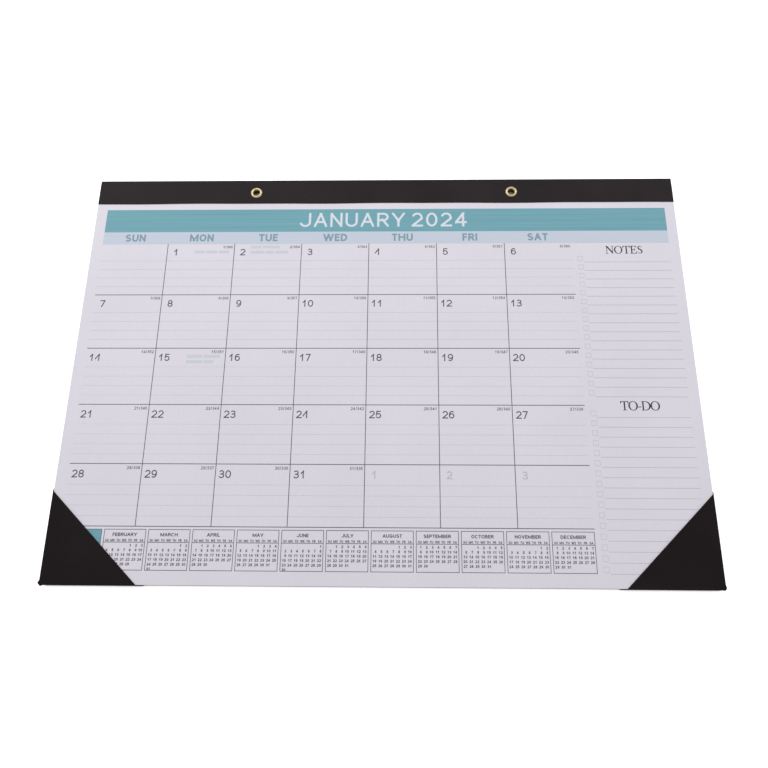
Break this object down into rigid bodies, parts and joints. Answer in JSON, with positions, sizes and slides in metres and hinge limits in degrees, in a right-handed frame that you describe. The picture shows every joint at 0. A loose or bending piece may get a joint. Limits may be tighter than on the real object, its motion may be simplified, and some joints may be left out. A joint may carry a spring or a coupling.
{
  "type": "wall calendar",
  "caption": "Flat monthly calendar pad on a board, with a folded strip and two eyelets at the top and a folded pocket over each bottom corner.",
  "frame": {"origin": "under the middle of the page, on the surface that the calendar lies on", "axes": "+X along the long side of the page, to the reader's right; +Y up the page, towards the folded strip; +Z out of the page, towards the reader"},
  "size_m": [0.4354, 0.3021, 0.0053],
  "materials": {
    "sheet_paper": "uncoated white paper, slightly cool",
    "chipboard": "raw grey-brown chipboard",
    "strip_leatherette": "black leatherette, fine grain, soft sheen",
    "corner_leatherette": "black leatherette, fine grain, soft sheen",
    "eyelet_brass": "bright pressed brass",
    "teal_print": "matte printed ink on paper",
    "pale_blue_print": "matte printed ink on paper",
    "dark_line_print": "matte printed ink on paper",
    "grey_line_print": "matte printed ink on paper",
    "faint_line_print": "matte printed ink on paper"
  },
  "bodies": {
    "root": {"month_sheets": "sheet_paper", "back_board": "chipboard", "binding_strip": "strip_leatherette", "left_eyelet": "eyelet_brass", "right_eyelet": "eyelet_brass", "left_corner": "corner_leatherette", "right_corner": "corner_leatherette", "title_band_print": "teal_print", "weekday_band_print": "pale_blue_print", "day_grid_print": "dark_line_print", "writing_lines_print": "faint_line_print", "list_lines_print": "grey_line_print", "tick_boxes_print": "faint_line_print", "month_frames_print": "dark_line_print", "current_month_print": "teal_print"}
  },
  "joints": []
}
